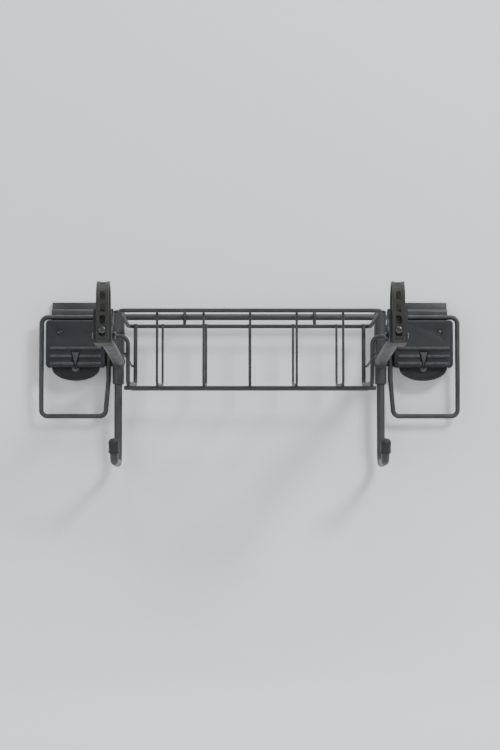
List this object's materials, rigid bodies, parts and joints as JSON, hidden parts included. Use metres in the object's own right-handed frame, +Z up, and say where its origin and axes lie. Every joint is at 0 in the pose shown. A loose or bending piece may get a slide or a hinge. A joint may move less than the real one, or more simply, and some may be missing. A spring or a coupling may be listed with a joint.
{
  "type": "bicycle wall rack",
  "caption": "Slatwall bicycle rack with turning locks on its wall plates, two strapped cradle arms, accessory hooks and a lift-off wire basket.",
  "frame": {"origin": "face of the wall panel, at the middle of the groove that the rack hangs from, midway between the arms", "axes": "+X to the right along the wall, +Y into the wall, +Z up"},
  "size_m": [0.5256, 0.3549, 0.2078],
  "materials": {
    "rack_steel": "graphite powder coat",
    "basket_wire": "graphite powder coat on wire",
    "cover_plastic": "fine moulded texture",
    "lock_plastic": "satin",
    "cradle_plastic": "fine moulded texture",
    "pad_rubber": "matte",
    "tip_vinyl": "satin dipped vinyl",
    "strap_rubber": "matte",
    "black_zinc": "black zinc plated"
  },
  "bodies": {
    "rack_frame": {"mount_plate_left": "rack_steel", "mount_plate_right": "rack_steel", "cover_left": "cover_plastic", "cover_right": "cover_plastic", "cover_screw_left": "black_zinc", "cover_screw_right": "black_zinc", "loop_frame_left": "rack_steel", "loop_frame_right": "rack_steel", "upright_left": "rack_steel", "upright_right": "rack_steel", "upright_cap_left": "lock_plastic", "upright_cap_right": "lock_plastic", "hook_left": "rack_steel", "hook_right": "rack_steel", "hook_tip_left": "tip_vinyl", "hook_tip_right": "tip_vinyl", "arm_left": "rack_steel", "arm_right": "rack_steel", "cradle_left": "cradle_plastic", "cradle_right": "cradle_plastic", "cradle_pad_left": "pad_rubber", "cradle_pad_right": "pad_rubber", "cradle_screw_left": "black_zinc", "cradle_screw_right": "black_zinc", "cradle_nut_left": "black_zinc", "cradle_nut_right": "black_zinc", "strap_pin_left": "black_zinc", "strap_pin_right": "black_zinc", "strap_stud_left": "black_zinc", "strap_stud_right": "black_zinc", "cross_rail": "rack_steel"},
    "lock_left": {"cam_left": "lock_plastic", "cam_dog_left": "black_zinc", "cam_screw_left": "black_zinc"},
    "lock_right": {"cam_right": "lock_plastic", "cam_dog_right": "black_zinc", "cam_screw_right": "black_zinc"},
    "strap_left": {"strap_band_left": "strap_rubber"},
    "strap_right": {"strap_band_right": "strap_rubber"},
    "strap_end_left": {"strap_tail_left": "strap_rubber"},
    "strap_end_right": {"strap_tail_right": "strap_rubber"},
    "basket": {"basket_rim": "basket_wire", "basket_rail_back": "basket_wire", "basket_rail_front": "basket_wire", "basket_wire_1": "basket_wire", "basket_wire_2": "basket_wire", "basket_wire_3": "basket_wire", "basket_wire_4": "basket_wire", "basket_wire_5": "basket_wire", "basket_end_left": "basket_wire", "basket_end_right": "basket_wire", "basket_side_wire_left": "basket_wire", "basket_side_wire_right": "basket_wire", "basket_hook_left": "basket_wire", "basket_hook_right": "basket_wire"}
  },
  "joints": [
    {"name": "lock_turn_left", "type": "hinge", "parent": "rack_frame", "child": "lock_left", "pos_m": [-0.217, 0, -0.0762], "axis": [0, -1, 0], "range_deg": [0, 90]},
    {"name": "lock_turn_right", "type": "hinge", "parent": "rack_frame", "child": "lock_right", "pos_m": [0.217, 0, -0.0762], "axis": [0, 1, 0], "range_deg": [0, 90]},
    {"name": "strap_swing_left", "type": "hinge", "parent": "rack_frame", "child": "strap_left", "pos_m": [-0.1635, -0.2939, -0.0397], "axis": [-1, 0, 0], "range_deg": [0, 100]},
    {"name": "strap_peel_left", "type": "hinge", "parent": "strap_left", "child": "strap_end_left", "pos_m": [-0.1635, -0.34225, -0.0272], "axis": [-1, 0, 0], "range_deg": [0, 90]},
    {"name": "strap_swing_right", "type": "hinge", "parent": "rack_frame", "child": "strap_right", "pos_m": [0.1635, -0.2939, -0.0397], "axis": [-1, 0, 0], "range_deg": [0, 100]},
    {"name": "strap_peel_right", "type": "hinge", "parent": "strap_right", "child": "strap_end_right", "pos_m": [0.1635, -0.34225, -0.0272], "axis": [-1, 0, 0], "range_deg": [0, 90]},
    {"name": "basket_lift", "type": "slide", "parent": "rack_frame", "child": "basket", "axis": [0, 0, 1], "range_m": [0, 0.025]}
  ],
  "couplings": [
    {"joint": "strap_peel_left", "follows": "strap_swing_left", "ratio": 0.9},
    {"joint": "strap_peel_right", "follows": "strap_swing_right", "ratio": 0.9}
  ]
}
